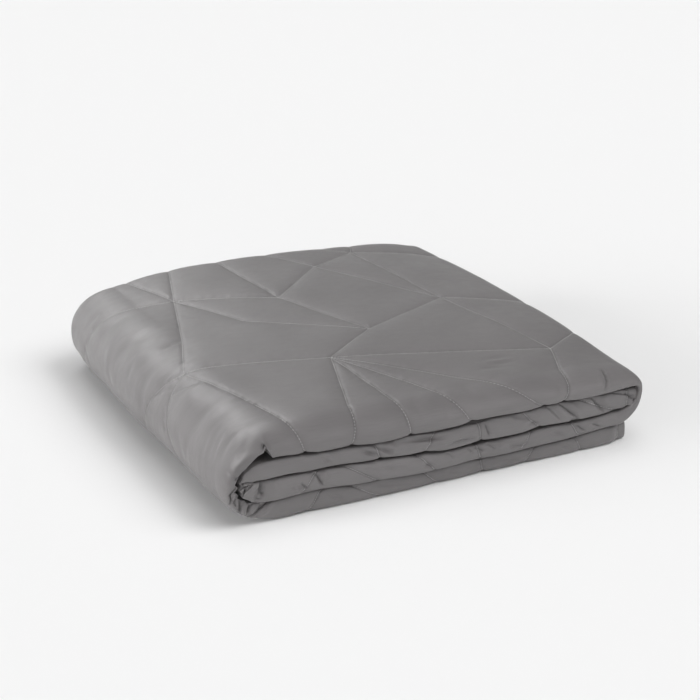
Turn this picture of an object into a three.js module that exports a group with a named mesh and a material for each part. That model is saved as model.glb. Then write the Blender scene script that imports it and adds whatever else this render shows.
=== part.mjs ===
// A quilted cooling blanket, folded in three across and then rolled flat into four passes.
// One cloth, so one closed solid. Millimetres, +Z up, the rounded fold fronts towards -Y.
//
// Three maps build it. section() folds the cloth in three: a flap, the front fold, the base panel,
// the back fold and a second flap, given as places across the strip and depths below its outer face.
// place() rolls that strip: second pass, core bend, third pass, right bend, top pass, left bend and
// bottom pass. quilt() sinks the outer face along the sewn seams.
import * as THREE from "three";

const { clamp, lerp, smoothstep } = THREE.MathUtils;

// Driving dimensions
const CLOTH = 4; // quilted cloth with its loft
const PASS_GAP = 1.2; // air between two passes
const HALF_DEPTH = 262; // half of the bundle from front to back
const LEFT_TURN_X = -186; // where the top and bottom passes run into the left bend
const CORE_TURN_X = -182; // where the second and third passes run into the core bend
const RIGHT_TOP_X = 232; // where the top pass leaves the right bend
const RIGHT_LOW_X = 224; // where the third pass runs into the right bend
const CORE_END_X = 226; // inner end of the strip, held inside the right bend
const BOTTOM_END_X = 229; // outer end of the strip, on the floor
const LEFT_BEND_THICK = 16; // the three layers pressed together round each bend
const RIGHT_BEND_THICK = 15;
const CORE_BEND_THICK = 24;
const CORE_CLEARANCE = 18; // the core bend stays this far inside the left bend
const BACK_PITCH = 23; // rise from one pass to the next along the back
const FLAP_SETBACK = 14; // the middle flap ends this far behind the front fold
const SEAM_DEPTH = 2.2; // how far a sewn seam draws the outer face in
const EDGE_WANDER = { size: 1.6, long: 143, short: 61 }; // how the fold fronts stray from straight
const CORE_TAPER = { from: 190, to: CORE_END_X, each: 3.6 }; // the second pass thins into the right bend

// Heights of the stack, a row for each station across it. low, mid and high are the creases between
// the passes along the front; front, middle and back are the top face from front to back.
const STATIONS = [
  { x: -250, low: 22, mid: 49, high: 72, front: 97, middle: 98, back: 84 },
  { x: -190, low: 23, mid: 47, high: 71, front: 98, middle: 101, back: 94 },
  { x: -110, low: 22, mid: 45, high: 66, front: 97, middle: 103, back: 101 },
  { x: -30, low: 20, mid: 41, high: 64, front: 95, middle: 103, back: 103 },
  { x: 60, low: 17, mid: 38, high: 63, front: 92, middle: 102, back: 102 },
  { x: 140, low: 17, mid: 38, high: 62, front: 89, middle: 99, back: 98 },
  { x: 200, low: 19, mid: 38, high: 63, front: 85, middle: 96, back: 94 },
  { x: 250, low: 21, mid: 40, high: 64, front: 80, middle: 92, back: 87 },
];
// Shares of the depth between which the creases even out, and the top rises and falls.
const EVEN_OUT = { from: 0.1, to: 0.7 };
const TOP_RISE = { from: 0, to: 0.4 };
const TOP_FALL = { from: 0.55, to: 1 };

// Reach of the left and right bends past their turning lines, by share of the depth.
const BEND_REACH = [
  { share: 0, left: 65, right: 24 },
  { share: 0.15, left: 70, right: 25 },
  { share: 0.4, left: 74, right: 27 },
  { share: 0.65, left: 72, right: 28 },
  { share: 0.85, left: 66, right: 26 },
  { share: 1, left: 56, right: 21 },
];

// The back corners are round in plan: how far the back edge stands in along the bundle.
const BACK_CORNERS = [
  { x: -260, inset: 50 },
  { x: -240, inset: 27 },
  { x: -210, inset: 12 },
  { x: -160, inset: 3 },
  { x: -100, inset: 0 },
  { x: 170, inset: 0 },
  { x: 225, inset: 4 },
  { x: 250, inset: 15 },
];

// Pleats where the front fold bunches up round a bend, by share of the bend.
const PLEAT_WIDTH = 9;
const CORE_PLEATS = [
  { share: 0.36, depth: 4 },
  { share: 0.66, depth: 4.5 },
];
const LEFT_PLEATS = [
  { share: 0.61, depth: 5.5 },
  { share: 0.77, depth: 5 },
  { share: 0.92, depth: 4.5 },
];

// The passes. up: its outer face looks up. inset: how far its front and back fold stand in.
// shoulder and chin: depth of the front fold on its outer and inner side; split: height share of the
// shoulder; round: 1 for a fold front that is an ellipse, less for a flatter front with tighter
// corners; heel: depth of the back fold.
const PASSES = {
  top: { up: 1, frontInset: 0, backInset: 0, shoulder: 40, chin: 6, split: 0.82, round: 0.86, heel: 17 },
  second: { up: 1, frontInset: 3, backInset: 5, shoulder: 7, chin: 6.5, split: 0.5, round: 0.7, heel: 10 },
  third: { up: -1, frontInset: 2, backInset: 4, shoulder: 6.5, chin: 6.5, split: 0.5, round: 0.7, heel: 10 },
  bottom: { up: -1, frontInset: 2, backInset: 3, shoulder: 6.5, chin: 7, split: 0.5, round: 0.7, heel: 10 },
};

// The strip from its inner end to its outer end. A bend goes from one pass to the next, and its flat
// length is that of half an ellipse of middling reach and rise. shown: the share of the stretch whose
// outer face can be seen.
const pass = (name, from, to, steps, shown = 0) => ({
  pass: name, from, to, steps, shown, length: Math.abs(to - from),
});
const bend = (side, passes, [from, to], [reach, rise], thick, steps, extra) => ({
  side, passes, from, to, thick, steps, shown: 0, clearance: 0, pleats: [],
  length: (Math.PI * (reach + rise / 2)) / 2, ...extra,
});
const STRETCHES = [
  pass("second", CORE_END_X, CORE_TURN_X, 9),
  bend("left", ["second", "third"], [CORE_TURN_X, CORE_TURN_X], [50, 48], CORE_BEND_THICK, 9, {
    clearance: CORE_CLEARANCE,
    pleats: CORE_PLEATS,
  }),
  pass("third", CORE_TURN_X, RIGHT_LOW_X, 9),
  bend("right", ["third", "top"], [RIGHT_LOW_X, RIGHT_TOP_X], [26, 72], RIGHT_BEND_THICK, 9, { shown: 1 }),
  pass("top", RIGHT_TOP_X, LEFT_TURN_X, 24, 1),
  bend("left", ["top", "bottom"], [LEFT_TURN_X, LEFT_TURN_X], [70, 98], LEFT_BEND_THICK, 13, {
    shown: 0.7,
    pleats: LEFT_PLEATS,
  }),
  pass("bottom", LEFT_TURN_X, BOTTOM_END_X, 9),
];

// Gives each length of a run its start, and returns the whole length.
function lineUp(pieces) {
  let start = 0;
  for (const piece of pieces) {
    piece.start = start;
    start += piece.length;
  }
  return start;
}
const STRIP_LENGTH = lineUp(STRETCHES);
const TOP_START = STRETCHES.find((stretch) => stretch.pass === "top").start;

// The cloth's flat width, in the order in which it is folded.
const FLAT = {
  flapA: { length: 494 },
  frontFold: { length: 50 },
  base: { length: 478 },
  backFold: { length: 30 },
  flapB: { length: 462 - FLAP_SETBACK },
};
const STRIP_WIDTH = lineUp(Object.values(FLAT));

// The quilting: straight seams that meet at junctions, repeated over the flat cloth. Places are
// [along the strip, across it] from the main junction, which lies on the top pass.
const REPEAT = [560, 520];
const MAIN_JUNCTION = [TOP_START + 292, FLAT.base.start + 118];
const JUNCTIONS = {
  main: [0, 0], kink: [-80, 62], dart: [40, 148], middle: [-30, 205], left: [84, 262], back: [-122, 296],
  right: [-212, 128], front: [-246, -64], shoulder: [152, 46], corner: [-196, 340],
};
// Each seam joins two junctions; a third entry moves the second one by whole repeats.
const SEAMS = [
  ["main", "shoulder"], ["main", "kink"], ["kink", "middle"], ["kink", "dart"], ["dart", "left"],
  ["main", "front"], ["middle", "left"], ["middle", "back"], ["kink", "right"], ["right", "front"],
  ["right", "corner"], ["back", "corner"], ["left", "shoulder"], ["back", "right"],
  ["main", "left", [0, -1]], ["main", "middle", [0, -1]], ["main", "back", [0, -1]],
  ["main", "corner", [0, -1]], ["front", "corner", [0, -1]], ["shoulder", "left", [0, -1]],
  ["shoulder", "right", [1, 0]], ["shoulder", "front", [1, 0]], ["left", "corner", [1, 0]],
];

// The height of a smooth curve through one column of a table.
function tableAt(rows, key, column, at) {
  const spot = clamp(at, rows[0][key], rows.at(-1)[key]);
  let i = 0;
  while (i < rows.length - 2 && rows[i + 1][key] < spot) i++;
  const slope = (n) => {
    const before = rows[Math.max(n - 1, 0)];
    const after = rows[Math.min(n + 1, rows.length - 1)];
    return (after[column] - before[column]) / (after[key] - before[key]);
  };
  const [low, high] = [rows[i], rows[i + 1]];
  const span = high[key] - low[key];
  const t = (spot - low[key]) / span;
  return (
    (2 * t ** 3 - 3 * t ** 2 + 1) * low[column] + (t ** 3 - 2 * t ** 2 + t) * span * slope(i) +
    (3 * t ** 2 - 2 * t ** 3) * high[column] + (t ** 3 - t ** 2) * span * slope(i + 1)
  );
}

const depthShare = (y) => clamp((y + HALF_DEPTH) / (2 * HALF_DEPTH), 0, 1);
const ramp = (at, { from, to }) => smoothstep(at, from, to);

// Creases between the passes and the top face above a point of the floor. The front follows the
// table, and the creases even out towards the back.
function stackAt(x, y) {
  const share = depthShare(y);
  const even = ramp(share, EVEN_OUT);
  const read = (column) => tableAt(STATIONS, "x", column, x);
  const risen = lerp(read("front"), read("middle"), ramp(share, TOP_RISE));
  return {
    low: lerp(read("low"), BACK_PITCH, even),
    mid: lerp(read("mid"), 2 * BACK_PITCH, even),
    high: lerp(read("high"), 3 * BACK_PITCH, even),
    top: lerp(risen, read("back"), ramp(share, TOP_FALL)),
  };
}

// Outer face height and thickness of one pass above a point of the floor.
function passAt(name, x, y) {
  const { low, mid, high, top } = stackAt(x, y);
  const half = PASS_GAP / 2;
  if (name === "top") return { outer: top, thick: top - high - half };
  if (name === "bottom") return { outer: 0, thick: low - half };
  if (name === "third") return { outer: low + half, thick: mid - low - PASS_GAP };
  const taper = CORE_TAPER.each * ramp(x, CORE_TAPER);
  return { outer: high - half - taper, thick: high - mid - PASS_GAP - 2 * taper };
}

// The stretch that a place along the strip lies in, and its share of it.
function stretchAt(u) {
  const stretch = STRETCHES.findLast(({ start }) => u >= start);
  return { stretch, share: (u - stretch.start) / stretch.length };
}

// A pass value along the strip, passed over smoothly in each bend.
function passValue(u, column) {
  const { stretch, share } = stretchAt(u);
  if (stretch.pass) return PASSES[stretch.pass][column];
  const [before, after] = stretch.passes;
  return lerp(PASSES[before][column], PASSES[after][column], smoothstep(share, 0, 1));
}

const outwards = { left: -1, right: 1 };
const reachOf = ({ side, clearance }, share) => tableAt(BEND_REACH, "share", side, share) - clearance;

// Where the outer face lies along X at a place of the strip, measured at the back.
function edgeX(u) {
  const { stretch, share } = stretchAt(u);
  const x = lerp(stretch.from, stretch.to, share);
  return stretch.pass ? x : x + outwards[stretch.side] * reachOf(stretch, 1) * Math.sin(Math.PI * share);
}

// How far the front fold is drawn in by the deepest pleat at a place of the strip.
function pleatAt(u) {
  const { stretch, share } = stretchAt(u);
  const depths = (stretch.pleats ?? []).map((pleat) => {
    const off = ((share - pleat.share) * stretch.length) / PLEAT_WIDTH;
    return pleat.depth * Math.exp(-off * off);
  });
  return Math.max(0, ...depths);
}

// The point of the bundle at u along the strip and y across it, level * thickness + offset below
// the strip's outer face. A bend is half an ellipse whose reach and rise shrink with that depth.
function place(u, { y, hold, level, offset }) {
  const { stretch, share } = stretchAt(u);
  const height = (name, x) => {
    const { outer, thick } = passAt(name, x, hold);
    return outer - PASSES[name].up * (level * thick + offset);
  };
  if (stretch.pass) {
    const x = lerp(stretch.from, stretch.to, share);
    return new THREE.Vector3(x, y, height(stretch.pass, x));
  }
  const turn = Math.PI * share;
  const turned = (1 - Math.cos(turn)) / 2;
  const sweep = (reachOf(stretch, depthShare(hold)) - level * stretch.thick - offset) * Math.sin(turn);
  const start = height(stretch.passes[0], stretch.from);
  const end = height(stretch.passes[1], stretch.to);
  const x = lerp(stretch.from, stretch.to, turned) + outwards[stretch.side] * sweep;
  return new THREE.Vector3(x, y, lerp(start, end, turned));
}

// One point of the folded section: its place across, the place where the stack's height is read,
// and its depth as level * thickness + offset. inner is the cloth's inner face. sink presses the
// outer face in along its normal.
function section(u, run, share, inner, sink) {
  const { size, long, short } = EDGE_WANDER;
  const wander = size * Math.abs(Math.sin(u / short) * Math.cos(u / long));
  const corner = tableAt(BACK_CORNERS, "x", "inset", edgeX(u));
  const front = wander + passValue(u, "frontInset") - HALF_DEPTH;
  const back = HALF_DEPTH - passValue(u, "backInset") - corner - wander;
  const shoulder = passValue(u, "shoulder");
  const chin = passValue(u, "chin");
  const heel = passValue(u, "heel");
  const split = passValue(u, "split");
  const round = passValue(u, "round");
  const baseFront = front + shoulder;
  const baseBack = back - heel;
  const skin = inner ? CLOTH : 0;
  const turn = Math.PI * share;
  const shape = {
    flapA() {
      return { y: lerp(baseBack - CLOTH, front + chin, share), level: 1, offset: -skin };
    },
    frontFold() {
      const lower = Math.cos(turn) > 0;
      const radius = (lower ? chin : shoulder) - skin;
      const out = Math.sin(turn) ** round;
      const down = (lower ? 1 : -1) * Math.abs(Math.cos(turn)) ** round;
      return {
        y: front + skin + radius * (1 - out) + (sink + pleatAt(u)) * out,
        level: split + (lower ? 1 - split : split) * down,
        offset: -(skin + sink) * down,
      };
    },
    base() {
      return { y: lerp(baseFront, baseBack, share), level: 0, offset: skin + sink };
    },
    backFold() {
      const drop = (1 - Math.cos(turn)) / 2;
      return {
        y: baseBack + (heel - skin - sink) * Math.sin(turn),
        level: drop / 2,
        offset: lerp(skin + sink, CLOTH / 2 - skin, drop),
      };
    },
    flapB() {
      return { y: lerp(baseBack, baseFront + FLAP_SETBACK, share), level: 0.5, offset: CLOTH / 2 - skin };
    },
  };
  const point = shape[run]();
  return { ...point, hold: clamp(point.y, baseFront, baseBack) };
}

// Every seam of the flat cloth as two end points, in as many repeats as cover it.
function seamLines() {
  const counts = [STRIP_LENGTH, STRIP_WIDTH].map((size, axis) => Math.ceil(size / REPEAT[axis]) + 1);
  const lines = [];
  for (let i = -counts[0]; i <= counts[0]; i++)
    for (let j = -counts[1]; j <= counts[1]; j++)
      for (const [from, to, step = [0, 0]] of SEAMS) {
        const end = (name, repeats) =>
          JUNCTIONS[name].map((spot, axis) => MAIN_JUNCTION[axis] + spot + repeats[axis] * REPEAT[axis]);
        lines.push([end(from, [i, j]), end(to, [i + step[0], j + step[1]])]);
      }
  return lines;
}
const SEAM_LINES = seamLines();

// Draws a grid point of the flat cloth onto the nearest seam that passes it within NEAR of a cell, so
// that each seam becomes a chain of points. Returns the moved point, or nothing.
const NEAR = 0.48;
function quilt(u, v, cellU, cellV) {
  let best;
  let nearest = NEAR;
  for (const [[u0, v0], [u1, v1]] of SEAM_LINES) {
    const lengthwise = Math.abs((v1 - v0) / cellV) < Math.abs((u1 - u0) / cellU);
    const t = lengthwise ? (u - u0) / (u1 - u0) : (v - v0) / (v1 - v0);
    if (t < 0 || t > 1) continue;
    const seam = lengthwise ? { u, v: lerp(v0, v1, t) } : { u: lerp(u0, u1, t), v };
    const off = Math.abs((seam.u - u) / cellU) + Math.abs((seam.v - v) / cellV);
    if (off >= nearest) continue;
    nearest = off;
    best = seam;
  }
  return best;
}

// The closed outline of the section, run by run; the inner face runs back. A run that ends at a free
// edge keeps its last point, and the others leave it to the next run.
const OUTLINE = [
  { run: "flapA", steps: 5 },
  { run: "frontFold", steps: 7 },
  { run: "base", steps: 24 },
  { run: "backFold", steps: 5 },
  { run: "flapB", steps: 5, toEdge: true },
  { run: "flapB", steps: 5, inner: true },
  { run: "backFold", steps: 4, inner: true },
  { run: "base", steps: 5, inner: true },
  { run: "frontFold", steps: 5, inner: true },
  { run: "flapA", steps: 5, inner: true, toEdge: true },
];
const samples = OUTLINE.flatMap(({ run, steps, inner = false, toEdge = false }) =>
  Array.from({ length: steps + (toEdge ? 1 : 0) }, (_, i) => ({
    run,
    inner,
    share: inner ? 1 - i / steps : i / steps,
    cell: FLAT[run].length / steps,
  })),
);

// Places along the strip: each stretch has its own number of even steps.
const stations = STRETCHES.flatMap(({ start, length, steps, shown }) =>
  Array.from({ length: steps }, (_, i) => ({ u: start + (length * i) / steps, shown: i < shown * steps })),
);
stations.push({ u: STRIP_LENGTH, shown: false });
stations.forEach((station, i) => {
  station.atEnd = i === 0 || i === stations.length - 1;
  if (!station.atEnd) station.cell = Math.min(station.u - stations[i - 1].u, stations[i + 1].u - station.u);
});

// A point of the solid, drawn in where a seam runs over a face that can be seen. Across the strip only
// the points inside the base panel may move, so that every run keeps its ends.
function clothPoint(station, { run, inner, share, cell }) {
  const seen = run === "frontFold" || (station.shown && (run === "base" || run === "backFold"));
  const { start, length } = FLAT[run];
  const v = start + length * share;
  const seam = seen && !inner && !station.atEnd && quilt(station.u, v, station.cell, cell);
  const inBase = run === "base" && share > 0;
  if (!seam || (seam.v !== v && !inBase)) {
    return { point: place(station.u, section(station.u, run, share, inner, 0)), sewn: false };
  }
  const sewn = section(seam.u, run, (seam.v - start) / length, inner, SEAM_DEPTH);
  return { point: place(seam.u, sewn), sewn: true };
}

function blanketGeometry() {
  const rows = stations.map((station) => samples.map((sample) => clothPoint(station, sample)));
  const width = samples.length;
  const index = [];
  for (let i = 0; i + 1 < rows.length; i++)
    for (let j = 0; j < width; j++) {
      const k = (j + 1) % width;
      const [a, b, c, d] = [i * width + j, (i + 1) * width + j, (i + 1) * width + k, i * width + k];
      // A seam that crosses a cell runs along its diagonal.
      if (rows[i][j].sewn && rows[i + 1][k].sewn) index.push(a, c, b, a, d, c);
      else index.push(a, d, b, b, d, c);
    }
  // Both ends of the strip look towards +X.
  for (const row of [0, rows.length - 1]) {
    const outline = rows[row].map(({ point }) => new THREE.Vector2(point.y, point.z));
    for (const triangle of THREE.ShapeUtils.triangulateShape(outline, []))
      index.push(...triangle.map((n) => row * width + n));
  }
  const geometry = new THREE.BufferGeometry().setFromPoints(rows.flat().map(({ point }) => point));
  geometry.setIndex(index);
  // The origin lies under the middle of the bundle, on the floor.
  geometry.computeBoundingBox();
  const { min, max } = geometry.boundingBox;
  geometry.translate(-(min.x + max.x) / 2, -(min.y + max.y) / 2, -min.z);
  geometry.computeVertexNormals();
  return geometry;
}

const cloth = new THREE.MeshStandardMaterial({ color: 0x7e7b7c, roughness: 0.5, metalness: 0 });
const blanket = new THREE.Mesh(blanketGeometry(), cloth);
blanket.name = "blanket";

const part = new THREE.Group();
part.name = "folded_cooling_blanket";
part.add(blanket);

export default part;
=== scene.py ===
"""Looks of a quilted cooling blanket, folded in three across and rolled flat into four passes.

The cloth is worked out on its own flat pattern: u runs along the strip and v across it, both in
millimetres. folded() folds a flat point in three across, rolled() rolls it along the strip, and the
quilting, puckers and creases are heights on the flat pattern that press its outer face in or out.
"""

import bpy
import numpy as np
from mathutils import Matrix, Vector


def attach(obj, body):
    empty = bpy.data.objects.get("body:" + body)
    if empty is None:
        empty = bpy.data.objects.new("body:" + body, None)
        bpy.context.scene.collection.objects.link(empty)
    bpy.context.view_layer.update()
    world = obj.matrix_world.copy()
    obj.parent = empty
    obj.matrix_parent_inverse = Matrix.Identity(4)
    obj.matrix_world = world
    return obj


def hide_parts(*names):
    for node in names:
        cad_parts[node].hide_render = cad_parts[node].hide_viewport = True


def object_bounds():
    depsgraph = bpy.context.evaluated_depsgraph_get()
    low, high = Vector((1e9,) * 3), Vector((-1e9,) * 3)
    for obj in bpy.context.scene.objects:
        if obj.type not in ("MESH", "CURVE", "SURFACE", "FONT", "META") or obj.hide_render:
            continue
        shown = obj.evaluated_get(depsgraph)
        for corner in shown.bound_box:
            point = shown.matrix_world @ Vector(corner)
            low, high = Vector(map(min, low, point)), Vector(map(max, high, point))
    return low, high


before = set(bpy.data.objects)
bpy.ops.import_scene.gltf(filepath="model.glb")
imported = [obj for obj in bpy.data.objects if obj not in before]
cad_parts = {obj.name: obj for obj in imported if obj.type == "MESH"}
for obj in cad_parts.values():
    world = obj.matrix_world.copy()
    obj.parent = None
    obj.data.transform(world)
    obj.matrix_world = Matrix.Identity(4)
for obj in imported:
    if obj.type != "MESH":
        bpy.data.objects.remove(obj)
solid_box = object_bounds()

MM = 0.001

# The fold, in millimetres, as in the solid
CLOTH = 4.0  # quilted cloth with its loft
PASS_GAP = 2.2  # air between two passes
HALF_DEPTH = 262.0  # half of the bundle from front to back
LEFT_TURN_X = -186.0  # where the top and bottom passes run into the left bend
CORE_TURN_X = -182.0  # where the second and third passes run into the core bend
RIGHT_TOP_X = 232.0  # where the top pass leaves the right bend
RIGHT_LOW_X = 216.0  # where the third pass runs into the right bend
CORE_END_X = 226.0  # inner end of the strip, held inside the right bend
BOTTOM_END_X = 238.0  # outer end of the strip, on the floor
BEND_GAP = 0.4  # air between the left bend and the core bend inside it
FIRST_HALF = (0.35, 0.65)  # shares of a bend between which its first half passes into its second
FRONT_RIM = (0.02, 0.14)  # shares of the depth between which a bend thickens behind its front rim
TIGHT = 2.2  # the fold fronts of the left bend and of the core in it lie closer by this much
BACK_PITCH = 23.0  # rise from one pass to the next along the back
FLAP_SETBACK = 14.0  # the middle flap ends this far behind the front fold
FLAP_FILL = {"reach": 60.0, "behind": 9.0}  # at the strip's ends the middle flap fills the front fold
LINING_ROOM = 3.0  # the front fold's inner side stands this much further back, clear of the creases
EDGE_WANDER = {"size": 1.6, "long": 143.0, "short": 61.0}  # how the fold fronts stray from straight
CORE_TAPER = {"from": 190.0, "to": CORE_END_X, "front": 1.0, "rear": 3.6}  # the second pass thins there
TUCK = {"from": 150.0, "reach": 17.0}  # the second pass is drawn towards the right bend along the front
BOTTOM_CORNER = {"inset": 6.0, "reach": 26.0}  # the bottom pass draws in towards its free end
LIP_REACH = 30.0  # the lip's lift dies away this far behind the front fold
# The creases rise and fall along the front: size and phase of each, and how far each of three waves runs
# in one radian
CREASE_WANDER = {"low": (0.9, 0.4), "mid": (1.3, 2.1), "high": (1.1, 4.0)}
CREASE_WAVES = (19.0, 53.0, 31.0)


def table(columns, rows):
    """A short table as one array for each named column."""
    return dict(zip(columns.split(), np.array(rows, float).T))


# Heights of the stack at stations along it: the creases between the passes along the front, and the
# top face from front to back.
STATIONS = table("x low mid high front middle back", [
    (-250, 16, 55, 73, 97, 98, 78),
    (-190, 24, 52, 72, 98, 101, 92),
    (-110, 23.5, 47, 67, 97, 103, 102),
    (-30, 20, 42, 64, 95, 103, 104),
    (60, 19, 38.5, 66, 92, 102, 102),
    (140, 20, 40.5, 66, 89, 99, 98),
    (200, 22, 41.5, 67.5, 85, 96, 94),
    (250, 24, 41, 69.5, 80, 92, 87),
])
# Shares of the depth between which the creases even out, and the top face rises and falls
EVEN_OUT, TOP_RISE, TOP_FALL = (0.1, 0.7), (0.0, 0.4), (0.55, 1.0)

# Reach of the left and right bends past their turning lines, by share of the depth
BEND_REACH = table("share left right", [
    (0, 65, 26.5), (0.15, 70, 22.5), (0.4, 74, 24.5), (0.65, 72, 27.5), (0.85, 69, 26.5), (1, 62, 19),
])

# The back corners are round in plan: how far the back edge stands in along the bundle
BACK_CORNERS = table("x inset", [
    (-260, 50), (-240, 27), (-210, 12), (-160, 3), (-100, 0), (160, 0), (215, 5), (250, 24),
])

# How far the front fold's lower edge lifts off the core along the left bend
LIP = table("along lift", [(16, 0), (19.5, 15), (23, 8), (28, 7), (38, 3), (48, 0)])

# Pleats where the front fold bunches up round a bend, by share of the bend
PLEAT_COLUMNS = "share depth width"
CORE_PLEATS = table(PLEAT_COLUMNS, [
    (0.45, 2, 3), (0.53, 2, 2.2), (0.605, 2.2, 2.4), (0.79, 2.5, 3),
])
LEFT_PLEATS = table(PLEAT_COLUMNS, [
    (0.38, 1.2, 2.4), (0.56, 2.6, 3), (0.636, 2.2, 2.4), (0.717, 3, 3), (0.786, 2.2, 2.4), (0.85, 2.4, 3),
])
NO_PLEATS = table(PLEAT_COLUMNS, [(0, 0, 1)])

# How much the left bend's front rim grows or shrinks where it bunches up round the core
BUNCHED = table("share grow", [
    (0.3, 0), (0.38, 1), (0.45, -2), (0.5, 2.2), (0.56, -2.2), (0.61, 1.6), (0.66, -1.4), (0.72, 2.6),
    (0.78, -1.6), (0.84, 1.4), (0.92, 0),
])

# The passes. up: its outer face looks up. front_inset and back_inset: how far its folds stand in.
# shoulder and chin: depth of the front fold on its outer and inner side; split: height share of the
# shoulder; under: share of the fold's cloth that lies on the chin; round: 1 for an elliptic front, less
# for a flatter one with tighter corners, on the shoulder and on the chin; heel: depth of the back fold.
PASS_COLUMNS = "up front_inset back_inset shoulder chin split under round chin_round heel"
PASSES = {
    "top": (1, 0, 0, 40, 4, 0.84, 0.2, 0.86, 0.26, 17),
    "second": (1, 2, 5, 7.5, 3, 0.62, 0.4, 0.7, 0.26, 10),
    "third": (-1, 1.5, 4, 3, 7.5, 0.38, 0.6, 0.4, 0.7, 10),
    "bottom": (-1, 7, 3, 7, 6, 0.38, 0.6, 0.75, 0.7, 10),
}
PASSES = {name: dict(zip(PASS_COLUMNS.split(), row)) for name, row in PASSES.items()}


def straight(name, begin, end):
    """A stretch of the strip that lies flat in one pass."""
    return {
        "name": name, "passes": (name, name), "begin": begin, "end": end, "side": 0,
        "length": abs(end - begin), "pleats": NO_PLEATS,
    }


def bend(name, side, passes, x, size, thick, round_, pleats=NO_PLEATS, inside=None, first_half=1.0):
    """A stretch that turns from one pass to the next; its length is half an ellipse's. thick: its three
    layers at the front rim and behind it; round_: 1 for an elliptic turn, less for a squarer one, on the
    outer and the inner side; first_half: how much rounder its first half is; inside: the thickness of
    the bend that it lies in.
    """
    reach, rise = size
    return {
        "name": name, "passes": passes, "begin": x[0], "end": x[1], "side": side, "thick": thick,
        "round": round_, "first_half": first_half, "pleats": pleats, "inside": inside,
        "length": np.pi * (reach + rise / 2) / 2,
    }


LEFT, RIGHT = -1, 1
LEFT_THICK, RIGHT_THICK, CORE_THICK = (12.0, 16.0), (7.5, 15.0), (12.0, 24.0)
STRETCHES = [
    straight("second", CORE_END_X, CORE_TURN_X),
    bend("core bend", LEFT, ("second", "third"), (CORE_TURN_X, CORE_TURN_X), (50, 48), CORE_THICK,
         (0.6, 0.7), CORE_PLEATS, inside=LEFT_THICK),
    straight("third", CORE_TURN_X, RIGHT_LOW_X),
    bend("right bend", RIGHT, ("third", "top"), (RIGHT_LOW_X, RIGHT_TOP_X), (31, 72), RIGHT_THICK,
         (0.85, 0.62), first_half=1.3),
    straight("top", RIGHT_TOP_X, LEFT_TURN_X),
    bend("left bend", LEFT, ("top", "bottom"), (LEFT_TURN_X, LEFT_TURN_X), (70, 98), LEFT_THICK,
         (0.96, 0.7), LEFT_PLEATS),
    straight("bottom", LEFT_TURN_X, BOTTOM_END_X),
]
STRETCH_ENDS = np.cumsum([stretch["length"] for stretch in STRETCHES])
STRETCH_STARTS = STRETCH_ENDS - [stretch["length"] for stretch in STRETCHES]
STRIP_LENGTH = STRETCH_ENDS[-1]
STARTS = {stretch["name"]: start for stretch, start in zip(STRETCHES, STRETCH_STARTS)}
NUMBERS = {stretch["name"]: number for number, stretch in enumerate(STRETCHES)}
BENDS = [number for number, stretch in enumerate(STRETCHES) if stretch["side"]]
SHOWN = [NUMBERS[name] for name in ("right bend", "top", "left bend")]  # their outer face is in sight

# The cloth's flat width in the order in which it is folded
FLAP_A, FRONT_FOLD, BASE, BACK_FOLD, FLAP_B = range(5)
RUN_LENGTHS = np.array([494.0, 50.0, 478.0, 30.0, 462.0 - FLAP_SETBACK])
RUN_STARTS = np.cumsum(RUN_LENGTHS) - RUN_LENGTHS
FOLDS = [FRONT_FOLD, BACK_FOLD]
BASE_FRONT = RUN_STARTS[BASE]  # front edge of the base panel, behind the front fold
STRIP_WIDTH = RUN_LENGTHS.sum()

# The quilting: straight seams that meet at junctions, repeated over the flat cloth. Places are along
# and across the strip from the main junction, which lies on the top pass.
REPEAT = np.array([560.0, 520.0])
MAIN_JUNCTION = np.array([STARTS["top"] + 292.0, BASE_FRONT + 118.0])
JUNCTIONS = {
    "main": (0, 0), "kink": (-80, 62), "dart": (40, 148), "middle": (-30, 205), "left": (84, 262),
    "back": (-122, 296), "right": (-212, 128), "front": (-246, -64), "shoulder": (152, 46),
    "corner": (-196, 340),
}
# Each seam joins two junctions; a third entry moves the second one by whole repeats.
SAME, BEFORE, BESIDE = (0, 0), (0, -1), (1, 0)
SEAMS = [
    ("main", "shoulder", SAME), ("main", "kink", SAME), ("kink", "middle", SAME), ("kink", "dart", SAME),
    ("dart", "left", SAME), ("main", "front", SAME), ("middle", "left", SAME), ("middle", "back", SAME),
    ("kink", "right", SAME), ("right", "front", SAME), ("right", "corner", SAME),
    ("back", "corner", SAME), ("left", "shoulder", SAME), ("back", "right", SAME),
    ("main", "left", BEFORE), ("main", "middle", BEFORE), ("main", "back", BEFORE),
    ("main", "corner", BEFORE), ("front", "corner", BEFORE), ("shoulder", "left", BEFORE),
    ("shoulder", "right", BESIDE), ("shoulder", "front", BESIDE), ("left", "corner", BESIDE),
]
HEM = 12.0  # the hem's stitch line runs this far inside the cloth's edge
SEAM_STEP = 977.0  # added along each next seam, so that their puckers are out of step


def lerp(a, b, t):
    """The straight mix of a and b."""
    return a + (b - a) * t


def smooth(at, low, high):
    """Rises from 0 at low to 1 at high along 3t^2 - 2t^3."""
    t = np.clip((at - low) / (high - low), 0, 1)
    return t * t * (3 - 2 * t)


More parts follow.
